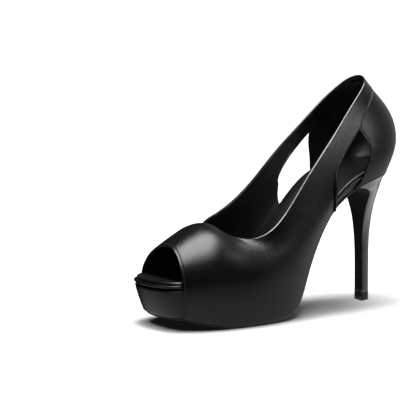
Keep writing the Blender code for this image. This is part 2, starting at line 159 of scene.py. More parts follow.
def soft_box(name, place, aim, width, height, power, turned=0.0):
    """A lit panel: place, aim and sides in metres, power in watts, turn about its own axis in degrees."""
    light = bpy.data.lights.new(name, "AREA")
    light.shape = "RECTANGLE"
    light.size = width
    light.size_y = height
    light.energy = power
    ob = new_object(name, light)
    ob.location = place
    ob.rotation_euler = (Vector(place) - Vector(aim)).to_track_quat("Z", "Y").to_euler()
    ob.rotation_euler.rotate_axis("Z", math.radians(turned))
    ob.visible_camera = False
    return ob


# The wide box gives the vamp its broad highlight, and the narrow strip gives one to the collar band.
soft_box("overhead_box", (-0.22, -0.12, 0.9), (-0.22, -0.12, 0.0), 0.95, 0.95, 26, -CAMERA_TURN)
soft_box("side_strip", (0.127, -0.149, 0.175), (0.045, -0.027, 0.135), 0.02, 0.1, 0.056)
# A smaller lamp on the left deepens the shadow beside the sole. It is kept out of the gloss.
table_key = soft_box("table_key", (-0.14, 0.04, 1.0), (0.0, 0.0, 0.0), 0.26, 0.26, 20)
table_key.visible_glossy = False

# What gloss picks up all round: the table below, a pale wall on the heel side, and black cloth elsewhere.
# The table runs on towards the camera, so its edge lies higher on that side. An edge is a pair of levels
# between which the gleam fades, on a scale from -1 straight away to 1 straight at the sky or the wall.
TABLE_GLEAM = 0.62
TABLE_TILT = (-0.03, 0.07, 0.99)
TABLE_EDGE = (-0.46, -0.32)
WALL_GLEAM = 0.42
WALL_TOWARDS = (0.98, 0.0, 0.1)
WALL_EDGE = (0.4, 0.95)
CLOTH_GLEAM = 0.02

world = bpy.data.worlds.new("studio surroundings")
bpy.context.scene.world = world
world.use_nodes = True
tree = world.node_tree
tree.nodes.clear()
way = add(tree, "ShaderNodeTexCoord").outputs["Generated"]
height = add(tree, "ShaderNodeVectorMath", {"operation": "DOT_PRODUCT", 1: TABLE_TILT}, i0=way)
low = add(tree, "ShaderNodeMapRange", {
    "interpolation_type": "SMOOTHSTEP", "From Min": TABLE_EDGE[0], "From Max": TABLE_EDGE[1],
    "To Min": TABLE_GLEAM, "To Max": CLOTH_GLEAM,
}, Value=height.outputs["Value"])
facing = add(tree, "ShaderNodeVectorMath", {"operation": "DOT_PRODUCT", 1: WALL_TOWARDS}, i0=way)
wall = add(tree, "ShaderNodeMapRange", {
    "interpolation_type": "SMOOTHSTEP", "From Min": WALL_EDGE[0], "From Max": WALL_EDGE[1],
    "To Min": 0.0, "To Max": WALL_GLEAM,
}, Value=facing.outputs["Value"])
total = add(tree, "ShaderNodeMath", {"operation": "ADD"}, i0=low.outputs[0], i1=wall.outputs[0])
sky = add(tree, "ShaderNodeBackground", {"Color": (1, 1, 1, 1)}, Strength=total.outputs[0])
add(tree, "ShaderNodeOutputWorld", Surface=sky.outputs[0])
bpy.context.scene.view_settings.view_transform = "Standard"


# Vamp and collar
# One skin of smooth, lightly grained calf leather, cut in one piece with the collar band, drawn over the
# last and folded in at every edge. Stitches follow the peep toe, the cut-outs and the front seams.
# Sizes are in millimetres, rows count from the toe, and shares run from the foot of the last to its top.
ORIGIN = np.array([1.482, 1.279, 0.0])
WALL = 1.8
LEATHER = 1.15
FOLDED_LEATHER = 1.8
FOLD_ROUNDING = 0.7
THROAT_ROW = 3
LAST_ROW = 14

# How each section of the last leaves its foot, its widest point and its top, as shares of its height
LOW_SHARE = 0.4
FOOT_OUT = 0.45
FOOT_RISE = 0.3
WIDE_RISE = 0.35
SHOULDER_RISE = 0.36
SHOULDER_LEAN = 0.22
TOP_REACH = 0.55
TOP_LENGTH = 0.33

# Rails of the last from toe to heel, in millimetres
# Columns: foot_x foot_y foot_z  wide_x wide_y wide_z  top_x top_y top_z  lean_deg  insole_z  fullness
OUTER_SIDE = [
    (-96.2, 24.9, 11.0, -97.4, 27.2, 33.5, -94.7, 4.0, 60.5, 0, 36.0, 1.0),
    (-84.0, 31.0, 7.6, -85.0, 33.5, 34.0, -82.5, 4.0, 68.0, 0, 34.0, 1.0),
    (-69.0, 35.2, 4.5, -70.5, 37.7, 34.4, -70.0, 4.0, 73.8, 0, 33.0, 1.0),
    (-53.0, 37.0, 2.1, -55.0, 39.5, 35.0, -60.0, 3.0, 74.8, 5, 33.0, 1.0),
    (-38.0, 37.6, 2.1, -40.0, 40.2, 36.3, -52.5, 12.5, 69.5, 24, 33.0, 1.0),
    (-22.0, 37.0, 2.1, -26.0, 39.6, 38.5, -42.0, 22.5, 64.8, 40, 33.0, 1.0),
    (-6.0, 34.5, 5.0, -12.0, 37.7, 42.5, -28.5, 28.5, 66.5, 54, 35.0, 1.0),
    (6.0, 30.2, 14.5, 1.0, 34.8, 51.0, -14.5, 30.0, 75.5, 65, 39.0, 1.0),
    (17.0, 26.3, 37.5, 14.0, 31.6, 65.5, 0.0, 29.0, 91.5, 72, 52.5, 1.0),
    (30.0, 23.5, 62.0, 30.0, 29.0, 85.0, 17.0, 27.5, 112.5, 76, 73.5, 1.0),
    (44.0, 24.0, 82.0, 46.0, 29.0, 102.0, 37.0, 25.5, 135.5, 74, 93.0, 1.0),
    (61.0, 26.5, 95.0, 62.5, 30.0, 114.0, 55.0, 22.0, 156.0, 70, 105.5, 1.0),
    (78.0, 26.5, 101.0, 82.0, 29.0, 121.0, 69.0, 17.5, 169.5, 64, 110.5, 1.0),
    (93.0, 20.0, 105.0, 100.0, 22.0, 128.0, 77.5, 10.5, 177.0, 58, 112.5, 1.0),
    (100.0, 0.0, 107.0, 110.5, 0.0, 132.0, 80.5, 0.0, 180.0, 56, 113.5, 1.0),
]
INNER_SIDE = [
    (-97.4, 27.4, 10.0, -99.8, 31.0, 33.5, -94.7, 4.0, 60.5, 0, 34.5, 0.78),
    (-87.0, 32.0, 7.2, -88.0, 35.0, 34.0, -82.5, 4.0, 68.0, 0, 33.5, 0.7),
    (-72.0, 34.4, 4.5, -73.0, 37.4, 34.4, -70.0, 4.0, 73.8, 0, 33.0, 0.76),
    (-56.0, 34.5, 2.1, -58.0, 37.5, 35.5, -60.0, 3.0, 74.8, 5, 33.0, 0.9),
    (-42.0, 34.0, 2.1, -44.0, 37.0, 37.5, -54.5, 14.5, 72.6, 24, 33.0, 1.0),
    (-28.0, 32.5, 2.1, -31.0, 36.0, 41.0, -44.5, 25.2, 73.8, 42, 34.0, 1.0),
    (-15.0, 29.2, 8.0, -17.0, 33.4, 49.0, -30.0, 29.5, 79.0, 58, 37.0, 1.0),
    (-2.0, 25.8, 27.0, -4.0, 31.2, 61.0, -14.5, 31.0, 88.0, 70, 45.0, 1.0),
    (13.0, 23.2, 54.5, 12.0, 29.6, 80.0, 2.0, 30.5, 102.5, 74, 66.5, 1.0),
    (28.0, 22.5, 75.0, 27.5, 28.5, 96.0, 20.0, 29.0, 121.5, 76, 86.0, 1.0),
    (44.0, 24.0, 89.5, 44.0, 28.5, 108.0, 40.0, 26.0, 141.0, 74, 100.5, 1.0),
    (61.0, 26.5, 97.5, 61.5, 29.5, 115.5, 57.0, 22.5, 158.0, 70, 107.5, 1.0),
    (78.0, 26.5, 102.0, 82.0, 28.5, 121.5, 69.5, 17.5, 170.0, 64, 111.0, 1.0),
    (93.0, 20.0, 105.0, 100.0, 22.0, 128.0, 77.5, 10.5, 177.3, 58, 112.5, 1.0),
    (100.0, 0.0, 107.0, 110.5, 0.0, 132.0, 80.5, 0.0, 180.0, 56, 113.5, 1.0),
]

# Edges of the side cut-outs, as row of the last and share of its height, for the outer and inner side
FRONT_EDGE = {
    -1: [(9.75, 0.0), (9.58, 0.16), (9.44, 0.357), (9.46, 0.47), (9.56, 0.537), (9.68, 0.583),
         (9.85, 0.617), (10.12, 0.65), (10.43, 0.672), (10.80, 0.69), (11.12, 0.705)],
    1: [(8.72, 0.0), (8.60, 0.16), (8.55, 0.333), (8.60, 0.453), (8.74, 0.557), (8.86, 0.59),
        (9.03, 0.617), (9.35, 0.655), (9.75, 0.685), (10.16, 0.703), (10.46, 0.712)],
}
BAND_EDGE = {
    -1: [(11.12, 0.705), (11.51, 0.768), (11.92, 0.803), (12.32, 0.828), (12.78, 0.85),
         (13.40, 0.868), (14.0, 0.875)],
    1: [(10.46, 0.712), (11.00, 0.765), (11.60, 0.800), (12.20, 0.828), (12.78, 0.85),
        (13.40, 0.868), (14.0, 0.875)],
}
REAR_EDGE = {
    -1: [(10.88, 0.0), (11.08, 0.10), (11.24, 0.253), (11.36, 0.407), (11.42, 0.487),
         (11.32, 0.567), (11.12, 0.705)],
    1: [(10.52, 0.0), (10.50, 0.12), (10.48, 0.24), (10.49, 0.41), (10.43, 0.533),
        (10.42, 0.643), (10.46, 0.712)],
}


def rail_slopes(rows):
    """Slopes of a cubic spline through the rows, level at the back seam but for the widths."""
    y = np.asarray(rows, float)
    n = len(y)
    grid = np.diag(np.full(n, 4.0)) + np.diag(np.ones(n - 1), 1) + np.diag(np.ones(n - 1), -1)
    grid[0, 0] = grid[-1, -1] = 2
    turn_rate = np.zeros_like(y)
    turn_rate[1:-1] = 3 * (y[2:] - y[:-2])
    turn_rate[0] = 3 * (y[1] - y[0])
    turn_rate[-1] = 3 * (y[-1] - y[-2])
    free = np.linalg.solve(grid, turn_rate)
    grid[-1, -2:] = (0, 1)
    turn_rate[-1] = 0
    level = np.linalg.solve(grid, turn_rate)
    level[:, [1, 4, 7]] = free[:, [1, 4, 7]]
    return y, level


RAILS = {-1: rail_slopes(OUTER_SIDE), 1: rail_slopes(INNER_SIDE)}


def section(s, side):
    """Foot, widest and top point, lean of the top, height of the insole and fullness at row s."""
    y, d = RAILS[side]
    s = np.clip(np.asarray(s, float), 0, LAST_ROW)
    i = np.minimum(s.astype(int), LAST_ROW - 1)
    u = (s - i)[..., None]
    c2 = 3 * (y[i + 1] - y[i]) - 2 * d[i] - d[i + 1]
    c3 = 2 * (y[i] - y[i + 1]) + d[i] + d[i + 1]
    r = y[i] + u * d[i] + u * u * c2 + u ** 3 * c3
    m = np.array([1, side, 1.0])
    lean = np.radians(r[..., 9])
    return r[..., 0:3] * m, r[..., 3:6] * m, r[..., 6:9] * m, lean, r[..., 10], r[..., 11:12]


def bezier(p, u):
    """Points on the cubic curve of four control points."""
    u = u[..., None]
    v = 1 - u
    return p[0] * v ** 3 + 3 * p[1] * u * v * v + 3 * p[2] * u * u * v + p[3] * u ** 3


def last_face(s, t, side):
    """Point on the last at row s and height share t."""
    s, t = np.broadcast_arrays(np.asarray(s, float), np.asarray(t, float))
    foot, wide, top, lean, _, full = section(s, side)
    flat = np.array([1, 1, 0])
    rise = np.array([0, 0, 1.0])
    h1 = (wide - foot)[..., 2:3]
    h2 = (top - wide)[..., 2:3]
    low = [foot, foot + (wide - foot) * flat * FOOT_OUT + rise * h1 * FOOT_RISE,
           wide - rise * h1 * WIDE_RISE, wide]
    inward = (top - wide) * flat
    reach = np.linalg.norm(inward, axis=-1, keepdims=True) + 1e-9
    length = np.linalg.norm(top - wide, axis=-1, keepdims=True)
    end = inward / reach * np.cos(lean)[..., None] + rise * np.sin(lean)[..., None]
    fl = np.cos(lean)[..., None]
    arm = (reach * TOP_REACH * fl + length * TOP_LENGTH * (1 - fl)) * full
    high = [wide, wide + rise * h2 * (SHOULDER_RISE + SHOULDER_LEAN * fl) * full, top - end * arm, top]
    a = bezier(low, np.clip(t / LOW_SHARE, 0, 1))
    b = bezier(high, np.clip((t - LOW_SHARE) / (1 - LOW_SHARE), 0, 1))
    return np.where((t < LOW_SHARE)[..., None], a, b)


# The leather spans the turn from instep to quarter, so these rows round the throat's corner are averaged
EASE_ROWS = (-1.6, -0.8, 0.8, 1.6)
EASE_MIDDLE = 4.8
EASE_REACH = 3.2
EASE_STEEPNESS = 4


def eased_face(s, t, side):
    """The last with that turn eased, so that no crease runs down from the throat's corner."""
    s, t = np.broadcast_arrays(np.asarray(s, float), np.asarray(t, float))
    p = last_face(s, t, side)
    f = np.clip((t - LOW_SHARE) / (1 - LOW_SHARE), 0, 1)
    near = np.clip(1 - np.abs(s - EASE_MIDDLE) / EASE_REACH, 0, 1)
    weight = near * near * (3 - 2 * near) * np.clip(f * EASE_STEEPNESS, 0, 1) ** 2
    some = weight > 0
    if some.any():
        rows = s[some] + np.array(EASE_ROWS)[:, None]
        drift = last_face(rows, t[some], side).mean(0) - p[some]
        rim_drift = last_face(rows, 1.0, side).mean(0) - last_face(s[some], 1.0, side)
        p[some] += weight[some][:, None] * (drift - f[some][:, None] * rim_drift)
    return p


SMALL_STEP = 0.004


def outward(s, t, side):
    """Unit normals of the eased last, from a small step along it and up it."""
    s, t = np.broadcast_arrays(np.asarray(s, float), np.asarray(t, float))
    h = SMALL_STEP
    ds = eased_face(np.minimum(s + h, LAST_ROW), t, side) - eased_face(np.maximum(s - h, 0), t, side)
    dt = eased_face(s, np.minimum(t + h, 1), side) - eased_face(s, np.maximum(t - h, 0), side)
    n = np.cross(ds, dt) * -side
    n[s >= LAST_ROW - 1e-6, 1] = 0
    return n / np.linalg.norm(n, axis=-1, keepdims=True)


def skin(s, t, side, offset):
    """Points that lie an offset outside the last."""
    return eased_face(s, t, side) + outward(s, t, side) * np.asarray(offset)[..., None]


# A row of the last is about 17 mm long, and its face is about 75 mm high
ROW_AND_HEIGHT = np.array([17.0, 75.0])


def along(points, shares):
    """Points at these shares of the length of a smooth curve through the given row and share pairs."""
    p = np.asarray(points, float)
    d = np.concatenate([[0], np.cumsum(np.linalg.norm(np.diff(p * ROW_AND_HEIGHT, axis=0), axis=1))])
    slope = np.gradient(p, d, axis=0)
    q = np.asarray(shares, float) * d[-1]
    i = np.clip(np.searchsorted(d, q) - 1, 0, len(p) - 2)
    w = d[i + 1] - d[i]
    u = ((q - d[i]) / w)[:, None]
    w = w[:, None]
    h = (2 * u ** 3 - 3 * u ** 2 + 1) * p[i] + (u ** 3 - 2 * u ** 2 + u) * w * slope[i]
    return h + (3 * u ** 2 - 2 * u ** 3) * p[i + 1] + (u ** 3 - u ** 2) * w * slope[i + 1]


# Steps of the net from each folded edge, in millimetres, close together where the stitches pull it down
EDGE_STEPS = np.array([0.0, 0.75, 1.35, 1.75, 2.15, 2.75, 4.2])
STITCH_STEP = 3
STITCH_SINK = 0.3
FREE_STEPS = 16


def graded(length, steps):
    """Shares from one folded edge to the other for a strip of that length."""
    low = np.asarray(steps) / length
    high = 1 - low[::-1]
    middle = np.linspace(low[-1], high[0], FREE_STEPS + 2)[1:-1]
    return np.concatenate([low, middle, high])


VAMP_COLUMNS = 56
FRONT_COLUMNS = 22
BAND_COLUMNS = 26
RIDGE_COLUMNS = 4
# Steps of the net from the edge of the peep toe, in rows
TOE_STEPS = np.array([0.0, 0.07, 0.125, 0.165, 0.205, 0.26, 0.4])
# Rows by which the column tops stand ahead of the cut-out's front foot and behind its top corner
COLUMN_LEAN = 0.55
BAND_LEAN = 0.15
RIDGE_RUN = 14
COLUMN_SAMPLES = 41


def main_columns(side, toe_steps):
    """Lower and upper ends of the columns of the main skin, as row and share."""
    front = along(FRONT_EDGE[side], np.linspace(0, 1, FRONT_COLUMNS + 1))
    band = along(BAND_EDGE[side], np.linspace(0, 1, BAND_COLUMNS + 1))
    end_row = FRONT_EDGE[side][0][0]
    ridge = np.concatenate([toe_steps, np.linspace(toe_steps[-1], THROAT_ROW, RIDGE_RUN)[1:]])
    rest = VAMP_COLUMNS - len(ridge)
    vamp = np.linspace(THROAT_ROW, end_row, rest + 1)[1:]
    rows = np.concatenate([ridge, vamp])
    lower = np.concatenate([np.stack([rows, np.zeros_like(rows)], 1), front[1:], band[1:]])
    vamp_end = end_row - COLUMN_LEAN
    front_end = FRONT_EDGE[side][-1][0] + BAND_LEAN
    upper = np.concatenate([
        ridge,
        np.linspace(THROAT_ROW, vamp_end, rest + 1)[1:],
        np.linspace(vamp_end, front_end, FRONT_COLUMNS + 1)[1:],
        np.linspace(front_end, LAST_ROW, BAND_COLUMNS + 1)[1:],
    ])
    return lower, upper, len(ridge)


def main_net(steps, toe_steps, offset_at):
    """Net of the vamp and band on both sides. offset_at gives how far each point lies off the last."""
    verts = []
    faces = []
    nets = {}
    for side in (-1, 1):
        lower, upper, ridge_count = main_columns(side, toe_steps)
        count = len(lower)
        ids = np.zeros((count, 2 * len(steps) + FREE_STEPS), int)
        for i in range(count):
            line = np.linspace(0, 1, COLUMN_SAMPLES)
            s = lower[i, 0] + (upper[i] - lower[i, 0]) * line
            t = lower[i, 1] + (1 - lower[i, 1]) * line
            length = np.linalg.norm(np.diff(last_face(s, t, side), axis=0), axis=1).sum()
            share = graded(length, steps)
            s = lower[i, 0] + (upper[i] - lower[i, 0]) * share
            t = lower[i, 1] + (1 - lower[i, 1]) * share
            p = skin(s, t, side, offset_at(i, len(share)))
            for j in range(len(share)):
                if i == count - 1 and side == 1:
                    ids[i, j] = nets[-1][i, j]
                else:
                    ids[i, j] = len(verts)
                    verts.append(p[j])
        nets[side] = ids
        for i in range(count - 1):
            for j in range(ids.shape[1] - 1):
                q = [ids[i, j], ids[i + 1, j], ids[i + 1, j + 1], ids[i, j + 1]]
                faces.append(q if side < 0 else q[::-1])
    before = nets[-1][:ridge_count, -1]
    ridge = [before]
    for k in range(1, RIDGE_COLUMNS + 1):
        f = k / RIDGE_COLUMNS
        if k == RIDGE_COLUMNS:
            after = nets[1][:ridge_count, -1]
        else:
            after = np.arange(ridge_count) + len(verts)
            for i in range(ridge_count):
                a = verts[nets[-1][i, -1]]
                b = verts[nets[1][i, -1]]
                verts.append(a + (b - a) * f)
        for i in range(ridge_count - 1):
            faces.append([before[i], before[i + 1], after[i + 1], after[i]])
        ridge.append(after)
        before = after
    return np.array(verts), faces, nets, ridge


def normals_of(verts, faces):
    """Unit normals at the points of a net of four-sided faces."""
    n = np.zeros_like(verts)
    f = np.array(faces)
    cross = np.cross(verts[f[:, 2]] - verts[f[:, 0]], verts[f[:, 3]] - verts[f[:, 1]])
    for k in range(4):
        np.add.at(n, f[:, k], cross)
    return n / (np.linalg.norm(n, axis=1, keepdims=True) + 1e-12)


def edge_loops(faces):
    """Edges that only one face has, as pairs in that face's direction."""
    seen = {}
    for f in faces:
        for a, b in zip(f, f[1:] + f[:1]):
            seen[(a, b)] = True
    return [(a, b) for a, b in seen if (b, a) not in seen]


# The turn of a folded edge: angle round it in degrees, and for a point under the shoe how far it turns in
# and how far down, in millimetres
FOLD_TURNS = ((60, 0.25, 0.2), (20, 0.8, 0.33), (-20, 3.4, 0.33), (-60, 3.4, -0.5))


def folded_sheet(verts, faces, thick, fold, rim_thick, trim=0.0, sole=()):
    """Closed skin with rounded, thicker edges, cut back by trim. Sole points turn in under the shoe."""
    n = normals_of(verts, faces)
    rim = edge_loops(faces)
    out = np.zeros_like(verts)
    for a, b in rim:
        c = np.cross(verts[b] - verts[a], n[a] + n[b])
        c /= np.linalg.norm(c) + 1e-12
        out[a] += c
        out[b] += c
    on_rim = np.linalg.norm(out, axis=1) > 1e-9
    out[on_rim] -= n[on_rim] * (out[on_rim] * n[on_rim]).sum(1)[:, None]
    out[on_rim] /= np.linalg.norm(out[on_rim], axis=1, keepdims=True)
    back_off = np.full((len(verts), 1), fold + trim)
    under = np.zeros(len(verts), bool)
    under[list(sole)] = True
    back_off[under] = 0
    top = verts - out * back_off
    low = top - n * thick
    count = len(verts)
    made = [top, low]
    new_faces = [list(f) for f in faces] + [[v + count for v in f[::-1]] for f in faces]
    rim_ids = np.where(on_rim)[0]
    order = {v: k for k, v in enumerate(rim_ids)}
    rings = [rim_ids]
    start = 2 * count
    level = n[rim_ids] * np.array([1, 1, 0])
    level /= np.linalg.norm(level, axis=1, keepdims=True) + 1e-9
    for angle, turn_in, drop in FOLD_TURNS:
        a = math.radians(angle)
        middle = top[rim_ids] - n[rim_ids] * rim_thick / 2
        ring = middle + out[rim_ids] * fold * math.cos(a) + n[rim_ids] * rim_thick / 2 * math.sin(a)
        turned = top[rim_ids] - level * turn_in - np.array([0, 0, drop])
        made.append(np.where(under[rim_ids][:, None], turned, ring))
        rings.append(np.arange(len(rim_ids)) + start)
        start += len(rim_ids)
    rings.append(rim_ids + count)
    for a, b in rim:
        for r0, r1 in zip(rings, rings[1:]):
            new_faces.append([r0[order[b]], r0[order[a]], r1[order[a]], r1[order[b]]])
    return np.concatenate(made), new_faces


WELD = 0.002


def make_piece(name, verts, faces, material, slot, replaces=()):
    """A smooth piece from points in the last's millimetres, riding on the shoe's one body."""
    mesh = bpy.data.meshes.new(name)
    verts = (np.asarray(verts, float) + ORIGIN) * MM
    mesh.from_pydata(verts.tolist(), [], [[int(v) for v in f] for f in faces])
    bm = bmesh.new()
    bm.from_mesh(mesh)
    bmesh.ops.remove_doubles(bm, verts=bm.verts, dist=WELD * MM)
    bmesh.ops.recalc_face_normals(bm, faces=bm.faces)
    for f in bm.faces:
        f.smooth = True
    bm.to_mesh(mesh)
    bm.free()
    mesh.materials.append(material)
    ob = new_object(name, mesh)
    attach(ob, "root")
    if replaces:
        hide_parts(*replaces)
    return ob


# Pores lie closer than the grain and less deep, and shade and gloss wander in patches of about 17 mm
PORES_TO_GRAIN = 1.7
PORE_DEPTH = 0.6
PATCH_SCALE = 60.0
PATCH_SPAN = (0.3, 0.7)
SHADE_SPAN = (0.75, 1.3)
GLOSS_SPAN = (0.9, 1.12)
COAT_ROUGHNESS = 0.12


def leather(name, colour, roughness, grain_mm, grain_depth, coat=0.0, shine=0.5):
    """Finished leather: a pebble grain with finer pores in it, a little uneven in shade and gloss."""
    material, tree = new_material(name)
    spot = add(tree, "ShaderNodeTexCoord").outputs["Object"]
    scale = 1000 / grain_mm
    grain = add(tree, "ShaderNodeTexVoronoi", {
        "feature": "F1", "Scale": scale, "Randomness": 1.0,
    }, Vector=spot)
    fine = add(tree, "ShaderNodeTexNoise", {"Scale": scale * PORES_TO_GRAIN, "Detail": 2.0}, Vector=spot)
    patch = add(tree, "ShaderNodeTexNoise", {"Scale": PATCH_SCALE, "Detail": 3.0}, Vector=spot)
    height = add(tree, "ShaderNodeMath", {
        "operation": "MULTIPLY_ADD", 1: PORE_DEPTH,
    }, i0=fine.outputs[0], i2=grain.outputs["Distance"])
    shade = add(tree, "ShaderNodeMapRange", {
        "From Min": PATCH_SPAN[0], "From Max": PATCH_SPAN[1],
        "To Min": SHADE_SPAN[0], "To Max": SHADE_SPAN[1],
    }, Value=patch.outputs[0])
    tone = add(tree, "ShaderNodeVectorMath", {
        "operation": "SCALE", 0: linear(colour)[:3],
    }, Scale=shade.outputs[0])
    gloss = add(tree, "ShaderNodeMapRange", {
        "From Min": PATCH_SPAN[0], "From Max": PATCH_SPAN[1],
        "To Min": roughness * GLOSS_SPAN[0], "To Max": roughness * GLOSS_SPAN[1],
    }, Value=patch.outputs[0])
    bump = add(tree, "ShaderNodeBump", {
        "Strength": 1.0, "Distance": grain_depth * MM,
    }, Height=height.outputs[0])
    shader = add(tree, "ShaderNodeBsdfPrincipled", {
        "IOR": 1.5, "Coat Weight": coat, "Coat Roughness": COAT_ROUGHNESS, "Specular IOR Level": shine,
    }, Base_Color=tone.outputs[0], Roughness=gloss.outputs[0], Normal=bump.outputs[0])
    add(tree, "ShaderNodeOutputMaterial", Surface=shader.outputs[0])
    return material


# Dyed and lightly glazed calf: nearly black, with a soft highlight that the grain breaks up at its edge.
# The grain of real calf is finer than half a millimetre, and it is drawn coarser so that it shows.
calf = leather("semi-gloss black calf leather", "#040405", 0.25, 1.0, 0.11)


def vamp_offset(i, count):
    """The leather dips along the stitch lines near the peep toe and the cut-outs."""
    sink = np.zeros(count)
    if i == STITCH_STEP:
        sink[:] = -STITCH_SINK
    if i >= VAMP_COLUMNS - 1:
        sink[STITCH_STEP] = -STITCH_SINK
    return sink


verts, faces, nets, ridge = main_net(EDGE_STEPS, TOE_STEPS, vamp_offset)
vamp_foot = np.concatenate([nets[side][:VAMP_COLUMNS, 0] for side in (-1, 1)])
toe_seam = np.concatenate([
    nets[-1][STITCH_STEP], [line[STITCH_STEP] for line in ridge[1:-1]], nets[1][STITCH_STEP][::-1],
])
band_seam = np.concatenate([
    nets[-1][VAMP_COLUMNS - 1:, STITCH_STEP], nets[1][VAMP_COLUMNS - 1:-1, STITCH_STEP][::-1],
])
vamp = make_piece(
    "vamp_and_collar",
    *folded_sheet(verts, faces, LEATHER, FOLD_ROUNDING, FOLDED_LEATHER, sole=vamp_foot),
    calf, "upper_leather", ["upper"])

# The fold along the collar is rubbed smooth and dressed, so it catches the light as one thin bright line.
COLLAR_X = -58.0
FACES_UP = 0.3
burnished = leather("burnished glossy calf edge", "#050505", 0.22, 0.8, 0.02, 0.7, 0.8)
vamp.data.materials.append(burnished)
for face in vamp.data.polygons:
    if face.index >= 2 * len(faces) and face.normal.z > FACES_UP and face.center.x > COLLAR_X * MM:
        face.material_index = 1
seam_paths = [(verts[toe_seam], normals_of(verts, faces)[toe_seam]),
              (verts[band_seam], normals_of(verts, faces)[band_seam])]


# Counter
# The stiff heel part, of the same leather, lies a little lower than the collar band and runs in under it.
# Its front edges by the cut-outs are folded and stitched, and its foot is held between seat and heel.
COUNTER_STEP = 0.5
COUNTER_LEATHER = 0.7
COUNTER_ROUNDING = 0.5
COUNTER_FOLDED = 1.2
COUNTER_LENGTH = 52.0
COUNTER_RISE = 14
COUNTER_RUN = 22
TUCK_SHARES = (0.02, 0.045, 0.07)
TUCK_DROP = 0.3


def counter_spots(side, f, g):
    """Rows and shares of the counter: f runs from cut-out to back, g from the foot to the band."""
    rear = along(REAR_EDGE[side], g)
    band = along(BAND_EDGE[side], f)
    f = np.asarray(f)[:, None]
    g = np.asarray(g)[None, :]
    low = rear[0, 0] + (LAST_ROW - rear[0, 0]) * f
    bend = rear[:, 0] - rear[0, 0] - (band[0, 0] - rear[0, 0]) * g
    s = low + (band[:, :1] - low) * g + (1 - f) * bend
    t = band[:, 1:] * g + (1 - f) * (rear[:, 1] - band[0, 1] * g)
    return s, t


verts = []
faces = []
counter_ids = {}
near_edge = EDGE_STEPS / COUNTER_LENGTH
run = np.concatenate([near_edge, np.linspace(near_edge[-1], 1, COUNTER_RUN)[1:]])
for side in (-1, 1):
    s, t = counter_spots(side, run, np.linspace(0, 1, COUNTER_RISE + 1))
    s = np.concatenate([s] + [s[:, -1:]] * len(TUCK_SHARES), 1)
    t = np.concatenate([t] + [t[:, -1:] + extra for extra in TUCK_SHARES], 1)
    offset = np.full(s.shape, -COUNTER_STEP)
    offset[STITCH_STEP] -= STITCH_SINK
    offset[:, COUNTER_RISE + 1:] -= TUCK_DROP
    p = skin(s, t, side, offset)
    ids = np.zeros(s.shape, int)
    for i in range(s.shape[0]):
        for j in range(s.shape[1]):
            if i == s.shape[0] - 1 and side == 1:
                ids[i, j] = counter_ids[-1][i, j]
            else:
                ids[i, j] = len(verts)
                verts.append(p[i, j])
    counter_ids[side] = ids
    for i in range(s.shape[0] - 1):
        for j in range(s.shape[1] - 1):
            q = [ids[i, j], ids[i + 1, j], ids[i + 1, j + 1], ids[i, j + 1]]
            faces.append(q if side < 0 else q[::-1])
verts = np.array(verts)
counter_foot = np.concatenate([counter_ids[side][:, 0] for side in (-1, 1)])
make_piece(
    "counter",
    *folded_sheet(verts, faces, COUNTER_LEATHER, COUNTER_ROUNDING, COUNTER_FOLDED, sole=counter_foot),
    calf, "upper_leather")
for side in (-1, 1):
    ids = counter_ids[side][STITCH_STEP, :COUNTER_RISE]
    seam_paths.append((verts[ids], normals_of(verts, faces)[ids]))


# Lining
# Grained black lining leather covers the inside in one skin. It is cut back a little from every folded
# edge, so that the turned-in calf shows above it as a narrow rim.
LINING_STEPS = np.array([0.0, 3.2, 6.0])
LINING_TOE = np.array([0.0, 0.28, 0.5])
LINING_THICK = 0.6
LINING_ROUNDING = 0.3
LINING_OFFSET = -1.2
LINING_TRIM = 1.1

verts, faces, nets, ridge = main_net(LINING_STEPS, LINING_TOE, lambda i, n: np.full(n, LINING_OFFSET))
verts = list(verts)
back_ids = {}
first = VAMP_COLUMNS - 1 + FRONT_COLUMNS
for side in (-1, 1):
    s, t = counter_spots(side, np.linspace(0, 1, BAND_COLUMNS + 1), np.linspace(0, 1, COUNTER_RISE + 1))
    p = skin(s, t, side, np.full(s.shape, LINING_OFFSET))
    ids = np.zeros(s.shape, int)
    for i in range(s.shape[0]):
        for j in range(s.shape[1]):
            if j == s.shape[1] - 1:
                ids[i, j] = nets[side][first + i, 0]
            elif i == s.shape[0] - 1 and side == 1:
                ids[i, j] = back_ids[i, j]
            else:
                ids[i, j] = len(verts)
                verts.append(p[i, j])
    if side < 0:
        back_ids = ids
    for i in range(s.shape[0] - 1):
        for j in range(s.shape[1] - 1):
            q = [ids[i, j], ids[i + 1, j], ids[i + 1, j + 1], ids[i, j + 1]]
            faces.append([int(v) for v in (q if side < 0 else q[::-1])])
verts = np.array(verts)

# Soft lining leather with an open, pebbled grain that glints here and there in the dark of the shoe.
lining_leather = leather("grained black lining leather", "#070707", 0.36, 1.1, 0.12, 0.0, 0.5)
make_piece(
    "lining", *folded_sheet(verts, faces, LINING_THICK, LINING_ROUNDING, LINING_THICK, LINING_TRIM),
    lining_leather, "upper_leather")


# Edge stitches
# Waxed black thread in short even stitches, about two millimetres inside each folded edge. Each stitch
# lies in the dip that it pulls into the leather.
STITCH_PITCH = 2.5
STITCH_LENGTH = 1.9
STITCH_WIDTH = 0.72
STITCH_SIDES = 6
STITCH_FLATNESS = 0.7
STITCH_LIFT = 0.1
# Each needle hole is a flat near-black mark of painted shade, laid on the leather between two stitches
HOLE_LENGTH = 0.9
HOLE_WIDTH = 0.95
HOLE_LIFT = 0.02
LOOK_AHEAD = 0.4
# Rings along a stitch: place as a share of its length, and girth as a share of its width
STITCH_RINGS = ((-0.5, 0.25), (-0.38, 0.8), (0.0, 1.0), (0.38, 0.8), (0.5, 0.25))

